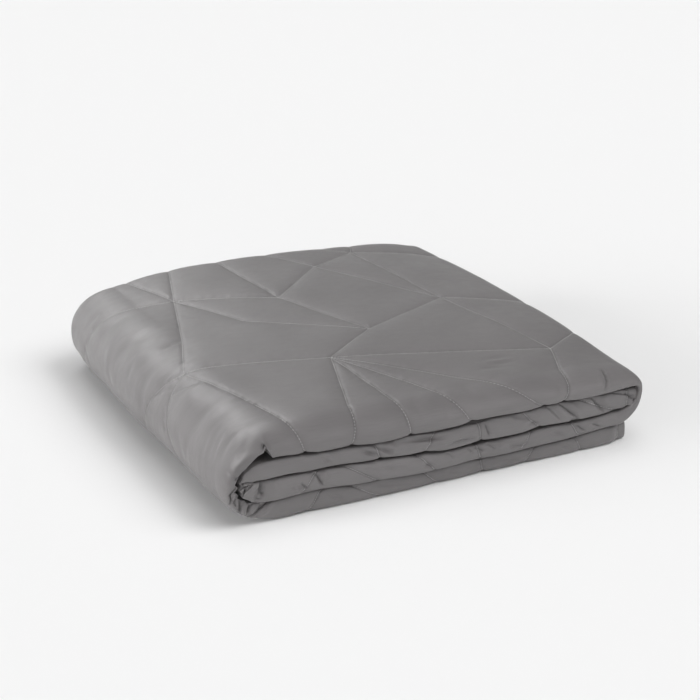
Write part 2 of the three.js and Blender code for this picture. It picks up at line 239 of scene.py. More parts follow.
def curve_at(rows, key, column, at):
    """A smooth curve through a column: cubic Hermite spans, sloped like the chord of the neighbours."""
    keys, values = rows[key], rows[column]
    spots = np.arange(len(keys))
    before = np.maximum(spots - 1, 0)
    after = np.minimum(spots + 1, len(keys) - 1)
    slope = (values[after] - values[before]) / (keys[after] - keys[before])
    spot = np.clip(at, keys[0], keys[-1])
    i = np.clip(np.searchsorted(keys, spot) - 1, 0, len(keys) - 2)
    span = keys[i + 1] - keys[i]
    t = (spot - keys[i]) / span
    return (
        (2 * t**3 - 3 * t**2 + 1) * values[i] + (t**3 - 2 * t**2 + t) * span * slope[i]
        + (3 * t**2 - 2 * t**3) * values[i + 1] + (t**3 - t**2) * span * slope[i + 1]
    )


def superellipse(turn, round_):
    """How far out and how far along a superellipse of unit size stands at a polar angle: the ray's sine
    and cosine over the n-th root of the sum of their n-th powers, with n = 2 / round_.
    """
    power = 2 / round_
    sine, cosine = np.clip(np.sin(turn), 0, 1), np.cos(turn)
    ray = (sine**power + np.abs(cosine) ** power) ** (-1 / power)
    return sine * ray, cosine * ray


def depth_share(y):
    """0 at the bundle's front and 1 at its back."""
    return np.clip((y + HALF_DEPTH) / (2 * HALF_DEPTH), 0, 1)


def stretch_at(u):
    """The number of the stretch that u lies in, and the share of it that lies before u."""
    which = np.clip(np.searchsorted(STRETCH_STARTS, u, side="right") - 1, 0, len(STRETCHES) - 1)
    lengths = STRETCH_ENDS - STRETCH_STARTS
    return which, (u - STRETCH_STARTS[which]) / lengths[which]


def by_stretch(u):
    """Each stretch that holds some of the places u, which of them it holds and their shares of it."""
    which, share = stretch_at(u)
    for number, stretch in enumerate(STRETCHES):
        here = which == number
        if here.any():
            yield stretch, here, share[here]


def run_at(v):
    """The number of the run across the cloth that v lies in."""
    return np.clip(np.searchsorted(RUN_STARTS, v, side="right") - 1, 0, len(RUN_STARTS) - 1)


def pass_value(u, column):
    """A pass's value along the strip, passed over smoothly in each bend."""
    which, share = stretch_at(u)
    before = np.array([PASSES[stretch["passes"][0]][column] for stretch in STRETCHES])
    after = np.array([PASSES[stretch["passes"][1]][column] for stretch in STRETCHES])
    return lerp(before[which], after[which], smooth(share, 0, 1))


def amid(u, name):
    """0 outside a stretch and at its ends, 1 in its middle: a half sine, widened."""
    which, share = stretch_at(u)
    return np.where(which == NUMBERS[name], np.clip(2 * np.sin(np.pi * np.clip(share, 0, 1)), 0, 1), 0.0)


def crease_wander(column, x):
    """Small ups and downs of a crease along the front: a product of two sines and half of a third."""
    size, phase = CREASE_WANDER[column]
    short, long, middle = CREASE_WAVES
    product = np.sin(x / short + phase) * np.sin(x / long + 2 * phase)
    return size * (product + 0.5 * np.sin(x / middle - phase))


def pass_faces(name, x, y):
    """Outer face height and thickness of a pass: the table's heights, evened out towards the back."""
    share = depth_share(y)
    even = smooth(share, *EVEN_OUT)
    crease = {
        column: lerp(curve_at(STATIONS, "x", column, x) + crease_wander(column, x), count * BACK_PITCH, even)
        for count, column in enumerate(("low", "mid", "high"), 1)
    }
    rear = smooth(share, *FRONT_RIM)
    front, middle, back = (curve_at(STATIONS, "x", column, x) for column in ("front", "middle", "back"))
    top = lerp(lerp(front, middle, smooth(share, *TOP_RISE)), back, smooth(share, *TOP_FALL))
    half = PASS_GAP / 2
    if name == "top":
        return top, top - crease["high"] - half
    if name == "bottom":
        return np.zeros_like(x), crease["low"] - half
    if name == "third":
        return crease["low"] + half, crease["mid"] - crease["low"] - PASS_GAP
    taper = lerp(CORE_TAPER["front"], CORE_TAPER["rear"], rear)
    taper = taper * smooth(x, CORE_TAPER["from"], CORE_TAPER["to"])
    return crease["high"] - half - taper, crease["high"] - crease["mid"] - PASS_GAP - 2 * taper


def rim(thick, deep, share):
    """A bend's thickness at a share of the depth and of the bend: it grows behind the front rim, and the
    left bend's rim is uneven.
    """
    behind = smooth(deep, *FRONT_RIM)
    uneven = np.interp(share, BUNCHED["share"], BUNCHED["grow"]) if thick is LEFT_THICK else 0.0
    return lerp(*thick, behind) + uneven * (1 - behind)


def bend_reach(stretch, deep, share):
    """How far a bend's outer face stands past its turning line, at a share of the depth and of the bend."""
    column = "left" if stretch["side"] == LEFT else "right"
    reach = curve_at(BEND_REACH, "share", column, deep)
    return reach if stretch["inside"] is None else reach - rim(stretch["inside"], deep, share) - BEND_GAP


def edge_x(u):
    """Where the outer face lies along X at the back: straight in a pass, a half sine out in a bend."""
    x = np.empty_like(u)
    for stretch, here, share in by_stretch(u):
        x[here] = lerp(stretch["begin"], stretch["end"], share)
        if stretch["side"]:
            x[here] += stretch["side"] * bend_reach(stretch, 1.0, 0.0) * np.sin(np.pi * share)
    return x


def pleat_depth(u):
    """How far the front fold is drawn in: the deepest of the bend's pleats, each pinched, exp(-|t|)."""
    depth = np.zeros_like(u)
    for stretch, here, share in by_stretch(u):
        for spot, deepest, width in zip(*stretch["pleats"].values()):
            off = (share - spot) * stretch["length"] / width
            depth[here] = np.maximum(depth[here], deepest * np.exp(-np.abs(off)))
    return depth


def lip_lift(u):
    """How far the front fold's lower edge lifts off the core: straight lines between the table's rows."""
    return np.interp(u - STARTS["left bend"], LIP["along"], LIP["lift"])


def folded(u, v, inner, sink):
    """Folds the flat cloth in three across: place across, place where the stack's height is read, and
    depth below the strip's outer face as level * thickness + offset. The front fold is a superellipse,
    the back fold half an ellipse, the rest is straight. sink presses the outer face in.
    """
    run = run_at(v)
    share = np.clip((v - RUN_STARTS[run]) / RUN_LENGTHS[run], 0, 1)
    wander = EDGE_WANDER["size"] * np.abs(np.sin(u / EDGE_WANDER["short"]) * np.cos(u / EDGE_WANDER["long"]))
    free_end = BOTTOM_CORNER["inset"] * smooth(u, STRIP_LENGTH - BOTTOM_CORNER["reach"], STRIP_LENGTH)
    front = wander + free_end + pass_value(u, "front_inset") - HALF_DEPTH
    corner = curve_at(BACK_CORNERS, "x", "inset", edge_x(u))
    back = HALF_DEPTH - pass_value(u, "back_inset") - corner - wander
    shoulder, chin, heel = (pass_value(u, column) for column in ("shoulder", "chin", "heel"))
    split, under, round_ = (pass_value(u, column) for column in ("split", "under", "round"))
    shoulder = shoulder - TIGHT * amid(u, "core bend")
    chin = chin - TIGHT * amid(u, "left bend")
    base_front = front + shoulder
    base_back = back - heel
    skin = CLOTH if inner else 0.0

    lower = share < under
    turn = np.pi / 2 * np.where(lower, share / under, 1 + (share - under) / (1 - under))
    out, down = superellipse(turn, np.where(lower, pass_value(u, "chin_round"), round_))
    lining = LINING_ROOM * out if inner else 0.0
    fold_y = front + lining + skin + (np.where(lower, chin, shoulder) - skin) * (1 - out)
    fold_y = fold_y + (sink + pleat_depth(u)) * out
    fold_level = split + np.where(lower, 1 - split, split) * down

    near_end = 1 - smooth(np.minimum(u, STRIP_LENGTH - u), 0, FLAP_FILL["reach"])
    flap_edge = lerp(base_front + FLAP_SETBACK, front + FLAP_FILL["behind"], near_end)

    drop = (1 - np.cos(np.pi * share)) / 2
    heel_y = base_back + (heel - skin - sink) * np.sin(np.pi * share)

    y = np.choose(run, [
        lerp(base_back - CLOTH, front + chin, share), fold_y, lerp(base_front, base_back, share), heel_y,
        lerp(base_back, flap_edge, share),
    ])
    level = np.choose(run, [np.ones_like(u), fold_level, np.zeros_like(u), drop / 2, np.full_like(u, 0.5)])
    lift = lip_lift(u)
    behind = smooth(y - front, chin, chin + LIP_REACH)
    offset = np.choose(run, [
        -skin - lift * (1 - behind), -(skin + sink) * down - lift * np.clip(fold_level, 0, 1) ** 2,
        skin + sink, lerp(skin + sink, CLOTH / 2 - skin, drop), np.full_like(u, CLOTH / 2 - skin),
    ])
    return y, np.clip(y, base_front, base_back), level, offset


def rolled(u, y, hold, level, offset):
    """Rolls the folded strip: a pass lies between its faces, and a bend is half a superellipse whose
    reach and rise shrink, and whose corners tighten, with the depth below the outer face.
    """
    x, z = np.empty_like(u), np.empty_like(u)

    def height(name, at, here):
        outer, thick = pass_faces(name, at, hold[here])
        return outer - PASSES[name]["up"] * (level[here] * thick + offset[here])

    for stretch, here, share in by_stretch(u):
        before, after = stretch["passes"]
        deep = depth_share(hold[here])
        if not stretch["side"]:
            x[here] = lerp(stretch["begin"], stretch["end"], share)
            z[here] = height(before, x[here], here)
            if before == "second":
                drawn = TUCK["reach"] * (1 - smooth(deep, *FRONT_RIM))
                x[here] += drawn * smooth(x[here], TUCK["from"], CORE_END_X)
            continue
        round_ = lerp(*stretch["round"], np.clip(level[here], 0, 1))
        round_ = round_ * lerp(stretch["first_half"], 1.0, smooth(share, *FIRST_HALF))
        out, back = superellipse(np.pi * share, round_)
        turned = (1 - back) / 2
        inwards = level[here] * rim(stretch["thick"], deep, share) + offset[here]
        sweep = (bend_reach(stretch, deep, share) - inwards) * out
        x[here] = lerp(stretch["begin"], stretch["end"], turned) + stretch["side"] * sweep
        begin = height(before, np.full_like(share, stretch["begin"]), here)
        end = height(after, np.full_like(share, stretch["end"]), here)
        z[here] = lerp(begin, end, turned)
    return np.stack([x, y, np.maximum(z, 0.0)], axis=-1)


# The solid is centred on its box, and its left edge gives the shift along X.
CENTRE_SHIFT = np.array([solid_box[0][0] / MM - (LEFT_TURN_X - BEND_REACH["left"].max()), 0.0, 0.0])


def cloth_points(u, v, inner=False, sink=None):
    """Points of the folded and rolled cloth in millimetres, for arrays of flat places."""
    sink = np.zeros_like(u) if sink is None else sink
    return rolled(u, *folded(u, v, inner, sink)) + CENTRE_SHIFT


def seam_lines():
    """Both ends of every quilting seam that crosses the flat cloth, in all its repeats, and of the hems."""
    counts = np.ceil([STRIP_LENGTH, STRIP_WIDTH] / REPEAT).astype(int) + 1
    steps = np.stack(np.meshgrid(*(np.arange(-n, n + 1) for n in counts), indexing="ij"), -1).reshape(-1, 2)
    first = np.array([JUNCTIONS[seam[0]] for seam in SEAMS])
    second = np.array([JUNCTIONS[seam[1]] for seam in SEAMS])
    second = second + np.array([seam[2] for seam in SEAMS]) * REPEAT
    origin = MAIN_JUNCTION + (steps * REPEAT)[:, None, :]
    lines = np.stack([origin + first, origin + second], axis=2).reshape(-1, 2, 2)
    size = np.array([STRIP_LENGTH, STRIP_WIDTH])
    inside = (lines.max(axis=1) > 0).all(axis=1) & (lines.min(axis=1) < size).all(axis=1)
    low, high = np.array([HEM, HEM]), size - HEM
    corners = np.array([low, (high[0], low[1]), high, (low[0], high[1])])
    hems = np.stack([corners, np.roll(corners, -1, axis=0)], axis=1)
    return np.concatenate([lines[inside], hems])


SEAM_LINES = seam_lines()


def seam_field(u, v):
    """Distance to the nearest seam, and how far along that seam the nearest point lies."""
    distance = np.full(u.shape, np.inf)
    along = np.zeros(u.shape)
    for number, ((u0, v0), (u1, v1)) in enumerate(SEAM_LINES):
        length = np.hypot(u1 - u0, v1 - v0)
        cu, cv = (u1 - u0) / length, (v1 - v0) / length
        run = np.clip((u - u0) * cu + (v - v0) * cv, 0, length)
        off = np.hypot(u - u0 - run * cu, v - v0 - run * cv)
        nearer = off < distance
        distance[nearer] = off[nearer]
        along[nearer] = run[nearer] + SEAM_STEP * number
    return distance, along


def onto_lines(lines, u, v, cell_u, cell_v, near=0.5):
    """Draws grid points onto the line that passes within a part of their cell: along the grid's rows
    where the line crosses more columns than rows, and else along its columns, so that each line is a
    chain of points.
    """
    best = np.full(u.shape, near)
    new_u, new_v = u.copy(), v.copy()
    for (u0, v0), (u1, v1) in lines:
        du, dv = u1 - u0, v1 - v0
        by_row = np.abs(dv) * cell_u < np.abs(du) * cell_v
        t = np.where(by_row, (u - u0) / (du or 1.0), (v - v0) / (dv or 1.0))
        seam_u = np.where(by_row, u, lerp(u0, u1, t))
        seam_v = np.where(by_row, lerp(v0, v1, t), v)
        off = np.abs(seam_u - u) / cell_u + np.abs(seam_v - v) / cell_v
        nearer = (off < best) & (t >= 0) & (t <= 1)
        best[nearer] = off[nearer]
        new_u = np.where(nearer, seam_u, new_u)
        new_v = np.where(nearer, seam_v, new_v)
    return new_u, new_v, best < near


# Noise on the flat cloth: its grain along and across the strip, and its seed
NOISE = {
    "slow swell": (110.0, 90.0, 1), "quick swell": (47.0, 53.0, 2), "pucker phase": (23.0, 23.0, 4),
    "pucker patch": (60.0, 60.0, 5), "streak patch": (70.0, 60.0, 6), "round the bend": (55.0, 8.0, 7),
    "down the front": (10.0, 34.0, 8), "bend swell": (52.0, 64.0, 9), "front swell": (37.0, 42.0, 10),
}


def value_noise(u, v, name):
    """Seeded random heights from -1 to 1 on a lattice, blended by smoothstep between its corners."""
    cell_u, cell_v, seed = NOISE[name]
    rows = int(STRIP_LENGTH / cell_u) + 3
    columns = int(STRIP_WIDTH / cell_v) + 3
    lattice = np.random.default_rng(seed).uniform(-1, 1, (rows, columns))
    a, b = u / cell_u + 1, v / cell_v + 1
    i = np.clip(a.astype(int), 0, rows - 2)
    j = np.clip(b.astype(int), 0, columns - 2)
    s, t = smooth(a - i, 0, 1), smooth(b - j, 0, 1)
    low = lerp(lattice[i, j], lattice[i + 1, j], s)
    high = lerp(lattice[i, j + 1], lattice[i + 1, j + 1], s)
    return lerp(low, high, t)


# Creases laid on a stretch: the place along it, the place across from the base panel's front
# edge (negative is down the front fold), heading in degrees from along the strip, length, width and
# depth. A trough has a positive depth, a ridge a negative one.
CREASES = [
    # Top pass: a short fold near its right end, ripples in front of a seam and a dip along its front
    ("top", [
        (30, -24, -67, 34, 2.6, 2.4), (36, -22, -67, 30, 4, -1.0), (120, 50, 5, 56, 4, 1.0),
        (124, 42, 4, 48, 3.5, -0.8), (120, 35, 3, 42, 3.5, 0.8), (143, 27, 9, 50, 4, 0.9),
        (190, -8, 0, 120, 11, 1.3), (330, -12, 2, 80, 10, 0.9), (262, -20, 80, 30, 6, 0.7),
        (92, -26, 84, 26, 5, 0.8),
    ]),
    # Left bend: streaks round its front, puckers about a junction, soft folds and a fold along its back
    ("left bend", [
        (57, 14, -18, 44, 3.5, 0.8), (51, -1, -11, 50, 3.5, 0.8), (40, -16, -22, 46, 3.5, 0.8),
        (62, 30, -14, 46, 4, -0.7), (35, 137, 37, 36, 3, 1.1), (41, 181, 7, 26, 3, 0.9),
        (31, 163, -38, 42, 3, 1.0), (55, 169, 48, 36, 3, 0.9), (78, 138, -29, 32, 2.5, 0.9),
        (20, 190, -24, 40, 4, 0.8), (88, 314, -43, 52, 5, 0.9), (61, 257, -5, 34, 4, 0.8),
        (70, 330, -30, 46, 5, -0.8), (45, 429, 9, 30, 4, 1.3), (95, 406, -48, 64, 4, 1.2),
        (10, 247, -18, 28, 3, 0.9), (46, 70, -12, 90, 13, 2.0), (40, 300, 12, 90, 14, 1.9),
        (60, 210, -20, 90, 11, 1.7), (90, 90, -35, 60, 6, 0.8), (42, 112, -24, 90, 14, -1.8),
        (36, 252, 18, 80, 13, -1.6), (44, 372, -14, 90, 15, 1.6), (52, 26, -16, 80, 11, 1.3),
    ]),
    # Second pass: slanted folds beside its right end, a notch below them, a dimple and a long dip
    ("second", [
        (92, -25, 58, 34, 2.8, 1.6), (84, -24, 60, 34, 4, -1.4), (74, -25, 52, 38, 2.6, 3.2),
        (65, -26, 56, 34, 4, -1.8), (42, -25, 68, 36, 2.4, 3.2), (34, -24, 74, 30, 4, -1.4),
        (17, -17, 30, 30, 2.2, 2.4), (8, -26, 58, 30, 2.4, 2.6), (14, -16, 62, 30, 4, -1.4),
        (66, -43, 0, 14, 4, 4.0), (177, -26, 76, 26, 2.0, 2.2), (184, -24, 66, 24, 4, -1.2),
        (256, -18, 3, 86, 5, 3.6), (236, -28, 6, 76, 5, -2.0), (208, -35, 8, 54, 4, 3.2),
        (300, -26, 50, 34, 3.4, 3.2), (318, -26, 44, 34, 3.4, 3.0), (130, -18, 24, 50, 5, 2.2),
        (118, -34, 30, 36, 4, 1.8), (292, -24, 52, 30, 4, -1.8), (309, -24, 47, 30, 4, -2.0),
        (368, -26, 72, 32, 3.6, 2.2),
    ]),
    # Third pass: short folds below the crease, a fold and a ridge near its left end
    ("third", [
        (211, -33, 70, 16, 2.4, 1.5), (222, -32, 62, 20, 2.6, 1.8), (236, -32, 58, 20, 2.8, 1.6),
        (246, -30, 50, 26, 4, -1.4), (33, -27, 76, 30, 2.2, 3.2), (39, -27, 80, 30, 3.4, -2.0),
        (8, -16, 60, 20, 3.2, -4.0), (16, -18, 66, 18, 2.2, 2.0), (268, -20, 34, 44, 4.5, 2.4),
        (110, -24, 16, 74, 5, 2.4), (92, -32, 24, 50, 4, -1.4), (160, -18, 40, 36, 4, 2.0),
        (186, -32, 64, 18, 2.6, 1.3), (320, -24, 40, 36, 4, 2.0), (352, -26, 62, 26, 2.4, 2.2),
        (372, -22, 56, 20, 2.2, 1.8),
    ]),
    # Core bend: the crease between its passes runs on to the left, with pleats below it
    ("core bend", [
        (52, -22, 74, 40, 1.8, 3.2), (61, -14, 80, 32, 1.6, 3.2), (56, -24, 78, 34, 2.6, -1.6),
        (66, -22, 70, 34, 2.6, -1.8), (70, -16, 60, 38, 2.0, 3.6), (80, -24, 75, 40, 5, -1.8),
        (92, -33, 82, 38, 1.8, 4.2), (104, -26, 70, 30, 4, -1.4),
    ]),
    # Left bend's front: it bunches up round the core, and ends in a slanted fold
    ("left bend", [
        (70, -42, 30, 16, 1.8, 2.6), (105, -28, 42, 44, 2, 3.8), (110, -20, 52, 34, 5, -1.6),
        (119, -32, 50, 26, 1.8, 3.0), (134, -24, 72, 44, 2, 3.8), (140, -22, 68, 36, 4, -2.0),
        (147, -30, 100, 30, 1.8, 3.2), (159, -28, 118, 54, 2, 3.8), (166, -28, 120, 42, 4, -2.2),
    ]),
    # Bottom pass: soft dips
    ("bottom", [
        (58, -24, 40, 40, 4, 1.8), (120, -26, 22, 60, 5, 2.2), (196, -24, 60, 30, 3.4, 1.8),
        (268, -24, 26, 50, 5, 2.0), (340, -26, 58, 30, 3.4, 1.8),
    ]),
]
CREASES = [(stretch, *row) for stretch, rows in CREASES for row in rows]
PINCHED = 3.0  # a trough no wider than this is pinched
STEEP = 2.5  # the steep side of a pinched crease is this much narrower
SHADE_WIDTH = 0.9  # width of the painted shade in a pinched crease
FULL_SHADE = 3.0  # a pinched crease of this depth gets the full painted shade


def is_pinched(width, deep):
    """A narrow trough is pinched; a wide one and a ridge are soft."""
    return deep > 0 and width <= PINCHED


def crease_lines():
    """Both ends of the middle line of every pinched crease on the flat cloth."""
    lines = []
    for stretch, along, across, heading, length, width, deep in CREASES:
        if is_pinched(width, deep):
            middle = np.array([STARTS[stretch] + along, BASE_FRONT + across])
            half = length / 2 * np.array([np.cos(np.radians(heading)), np.sin(np.radians(heading))])
            lines.append((middle - half, middle + half))
    return np.array(lines)


def crease_depth(u, v):
    """Sum of the creases, and the painted shade in the pinched ones. A soft crease fades along its line like
    a squared cosine and is a bell across it, exp(-t^2). A pinched one holds its depth up to near its ends,
    1 - t^4, and has a gentle side, exp(-t), and a steep one; its painted shade is a narrow bell.
    """
    depth, shade = np.zeros(u.shape), np.zeros(u.shape)
    for stretch, along, across, heading, length, width, deep in CREASES:
        cosine, sine = np.cos(np.radians(heading)), np.sin(np.radians(heading))
        du = u - STARTS[stretch] - along
        dv = v - BASE_FRONT - across
        run = np.clip((du * cosine + dv * sine) / (length / 2), -1, 1)
        off = (dv * cosine - du * sine) / width
        if not is_pinched(width, deep):
            depth += deep * np.cos(np.pi / 2 * run) ** 2 * np.exp(-off * off)
            continue
        fade = 1 - run**4
        side = np.where(off > 0, np.exp(-np.abs(off)), np.exp(-((STEEP * off) ** 2)))
        depth += deep * fade * side
        # The painted shade: a narrow dark line along the crease's middle
        line = np.exp(-((off * width / SHADE_WIDTH) ** 2))
        shade = np.maximum(shade, fade * line * min(deep / FULL_SHADE, 1))
    return depth, shade


# The relief of the outer face
SEAM_DEPTH, SEAM_WIDTH = 0.85, 1.4  # the sharp valley at the stitches
DIP_DEPTH, DIP_WIDTH = 0.65, 11.0  # the soft dip of the filling beside it
FRONT_DEEPER = 0.6  # both are deeper by this share over the fold fronts
DEEPER_UP_TO = BASE_FRONT + np.array([-40.0, 30.0])
# Puckers: depth, reach from the seam and clear strip at it, wave length along it and how far that strays
PUCKER = {"depth": 0.25, "reach": 7.0, "clear": 2.0, "wave": 11.0, "stray": 2.5}
PUCKER_PATCH = (0.6, 0.4)  # their share that is even all over, and the share that comes in patches
SWELL, QUICK_SHARE = 1.0, 0.5  # slow rise and fall of the cloth, and the share of a quicker one
BEND_SWELL = 1.7  # more of it on the left bend
ROLL_SWELL = 1.4  # soft bulges along the rounded front of the top pass
ROLL_FROM = RUN_STARTS[FRONT_FOLD] + np.array([8.0, 26.0])
ROLL_UP_TO = BASE_FRONT + np.array([10.0, 60.0])
STREAK, LOW_STREAK = 0.38, 1.1  # fine streaks, and those down the fronts of the lower passes
STREAKS_UP_TO = BASE_FRONT + np.array([-8.0, 4.0])
STREAK_PATCH = 0.3  # higher for streaks over more of the cloth
FADE = 20.0  # what belongs to a stretch alone fades this close to its ends


def over(at, rise, fall):
    """1 from one place to another and 0 outside: a smooth rise times a smooth fall."""
    return smooth(at, *rise) * (1 - smooth(at, *fall))


def over_stretch(u, name, after):
    """1 on a stretch and 0 elsewhere, with smooth ends."""
    begin, end = STARTS[name], STARTS[after]
    return over(u, (begin - FADE, begin + FADE), (end - FADE, end))


def streaks(u, v):
    """Fine lengthwise streaks round the left bend and short upright ones on the fold fronts, in patches:
    stretched noise times slow noise.
    """
    patch = np.clip(value_noise(u, v, "streak patch") + STREAK_PATCH, 0, 1)
    turning = over_stretch(u, "left bend", "bottom")
    fronts = 1 - smooth(v, *STREAKS_UP_TO)
    round_bend = value_noise(u, v, "round the bend") * turning
    down_front = value_noise(u, v, "down the front") * fronts * (1 - turning)
    low = (u < STARTS["right bend"]) | (u > STARTS["bottom"])
    return patch * (STREAK * round_bend + np.where(low, LOW_STREAK, STREAK) * down_front)


def swells(u, v):
    """Slow noise all over the cloth, and more of it on the left bend and along the top pass's front."""
    swell = SWELL * (value_noise(u, v, "slow swell") + QUICK_SHARE * value_noise(u, v, "quick swell"))
    swell = swell + BEND_SWELL * value_noise(u, v, "bend swell") * over_stretch(u, "left bend", "bottom")
    roll = over_stretch(u, "top", "left bend") * over(v, ROLL_FROM, ROLL_UP_TO)
    return swell + ROLL_SWELL * value_noise(u, v, "front swell") * roll


def relief(u, v):
    """How far the outer face is pressed in: valleys along the seams, exp(-t) and a bell, puckers that
    run out from them as a sine along the seam, swells, streaks and the listed creases.
    """
    distance, along = seam_field(u, v)
    deeper = 1 + FRONT_DEEPER * (1 - smooth(v, *DEEPER_UP_TO))
    dip = DIP_DEPTH * deeper * np.exp(-(distance / DIP_WIDTH) ** 2)
    valley = SEAM_DEPTH * deeper * np.exp(-distance / SEAM_WIDTH) + dip
    phase = 2 * np.pi * along / PUCKER["wave"] + PUCKER["stray"] * value_noise(u, v, "pucker phase")
    near = np.exp(-(distance / PUCKER["reach"]) ** 2) * (1 - np.exp(-distance / PUCKER["clear"]))
    even, patchy = PUCKER_PATCH
    pucker = PUCKER["depth"] * np.sin(phase) * near * (even + patchy * value_noise(u, v, "pucker patch"))
    return valley + pucker + swells(u, v) + streaks(u, v) + crease_depth(u, v)[0]


# The grid of the flat cloth: fine where the cloth is in sight, thinned where it is hidden
FINE = 2.7  # step along the strip, except for the stretches whose fronts crease
FINER = {"second": 1.6, "core bend": 1.1, "third": 1.6, "left bend": 1.3, "bottom": 2.2}
CROWD = 0.45  # 0 for even steps across the base panel, more to crowd them towards its front
RUN_STEPS = {FLAP_A: 10, FRONT_FOLD: 33, BASE: 120, BACK_FOLD: 9, FLAP_B: 10}
EDGE_STEPS = np.array([0.0, 0.3, 0.9, 2.0, 4.0, 7.0])  # distances from the cloth's edge
EDGE_CLEAR = EDGE_STEPS[-1] + 1  # the even steps keep this far from the edge
HEM_ROUND = 2.0  # the cloth's edge is rounded over this far
HIDDEN_STRIDE, BEND_STRIDE = 10, 3  # steps taken as one where the cloth is hidden, and along its bends
UNDERSIDE_STRIDE, BACK_STRIDE, LEFT_STRIDE = 4, 2, 2  # underside, low back folds, base of the left bend
LIP_MARGIN = 4.0  # hidden cloth stays fine under the lip and this far past it
TINY = 1e-6  # a line on a border counts with what follows it


def with_edges(places, length):
    """Places clear of both ends of a length, and a few fine steps at each end."""
    places = np.concatenate(places)
    clear = places[(places > EDGE_CLEAR) & (places < length - EDGE_CLEAR)]
    return np.concatenate([EDGE_STEPS, clear, length - EDGE_STEPS[::-1]])


def grid_rows():
    """Places along the strip: even steps in each stretch, and a few fine ones at both ends."""
    rows = []
    for start, end, stretch in zip(STRETCH_STARTS, STRETCH_ENDS, STRETCHES):
        count = int(np.ceil((end - start) / FINER.get(stretch["name"], FINE)))
        rows.append(np.linspace(start, end, count, endpoint=False))
    return with_edges(rows, STRIP_LENGTH)


def grid_columns():
    """Places across the strip: even steps in each run, but closer towards the front on the base panel,
    and a few fine ones at both flap edges.
    """
    columns = []
    for run, (start, length) in enumerate(zip(RUN_STARTS, RUN_LENGTHS)):
        share = np.linspace(0, 1, RUN_STEPS[run], endpoint=False)
        if run == BASE:
            share = share + CROWD * (share**2 - share)
        columns.append(start + length * share)
    return with_edges(columns, STRIP_WIDTH)


def grid_parts(stretch, run):
    """Where the grid is fine, and which of its points lie on parts with relief or thinning of their own."""
    shown, fold = np.isin(stretch, SHOWN)[:, None], np.isin(run, FOLDS)[None, :]
    base = (run == BASE)[None, :]
    return {
        "fine": fold | (shown & base),
        "low fold": ~shown & fold,
        "low back": ~shown & (run == BACK_FOLD)[None, :],
        "left base": (stretch == NUMBERS["left bend"])[:, None] & base,
        "underside": (stretch == NUMBERS["bottom"])[:, None] & base,
    }


def strided(groups, stride):
    """For each line of the grid the line that stands for it: every stride-th one of its group, except
    that the fine lines at both ends stand for themselves.
    """
    lines, keep = np.arange(len(groups)), len(EDGE_STEPS)
    starts = np.searchsorted(groups, groups)
    stands = starts + (lines - starts) // stride * stride
    own = (lines < keep) | (lines >= len(groups) - keep)
    return np.where(own, lines, np.maximum(stands, np.minimum(keep, starts + keep)))


def sewn_grid(rows, columns, stretch, run, left_base):
    """The flat grid drawn onto the seams and pinched creases, and which of its points were drawn. Points
    on the cloth's edge, left out by thinning, or that would leave their run or stretch stay in place.
    """
    u, v = np.meshgrid(rows, columns, indexing="ij")
    cell_u = np.gradient(rows)[:, None] * np.where(left_base, LEFT_STRIDE, 1)
    cell_v = np.gradient(columns)[None, :]
    seam_u, seam_v, sewn = onto_lines(np.concatenate([SEAM_LINES, crease_lines()]), u, v, cell_u, cell_v)
    first_of_run = np.r_[True, run[1:] != run[:-1]][None, :]
    first_of_stretch = np.r_[True, stretch[1:] != stretch[:-1]][:, None]
    left_out = (strided(stretch, LEFT_STRIDE) != np.arange(len(rows)))[:, None]
    sewn &= ~(first_of_run & (seam_v != v)) & ~(first_of_stretch & (seam_u != u)) & ~(left_base & left_out)
    sewn[[0, -1], :] = False
    sewn[:, [0, -1]] = False
    return np.where(sewn, seam_u, u), np.where(sewn, seam_v, v), sewn


def pressed(u, v, columns, run, parts):
    """The relief where the cloth is in sight. Down the fronts of the lower passes its ridges fade towards
    the neighbours like a half sine, and the underside, on the floor, has no ridges.
    """
    across = (columns - RUN_STARTS[FRONT_FOLD]) / RUN_LENGTHS[FRONT_FOLD]
    fade = np.clip(np.sin(np.pi * np.where(run == FRONT_FOLD, across, 0.5)), 0, 1)[None, :]
    press = relief(u, v)
    press = np.where(parts["low fold"] & (press < 0), press * fade, press)
    press = np.where(parts["fine"] | parts["underside"], press, 0.0)
    return np.where(parts["underside"], np.maximum(press, 0.0), press)


def hemmed(u, v, outer, inner):
    """The two sheets drawn together along the cloth's edges, like a quarter circle."""
    to_edge = np.minimum(np.minimum(u, STRIP_LENGTH - u), np.minimum(v, STRIP_WIDTH - v))
    plump = np.sqrt(1 - (1 - np.clip(to_edge / HEM_ROUND, 0, 1)) ** 2)[..., None]
    middle = (outer + inner) / 2
    return middle + (outer - middle) * plump, middle + (inner - middle) * plump


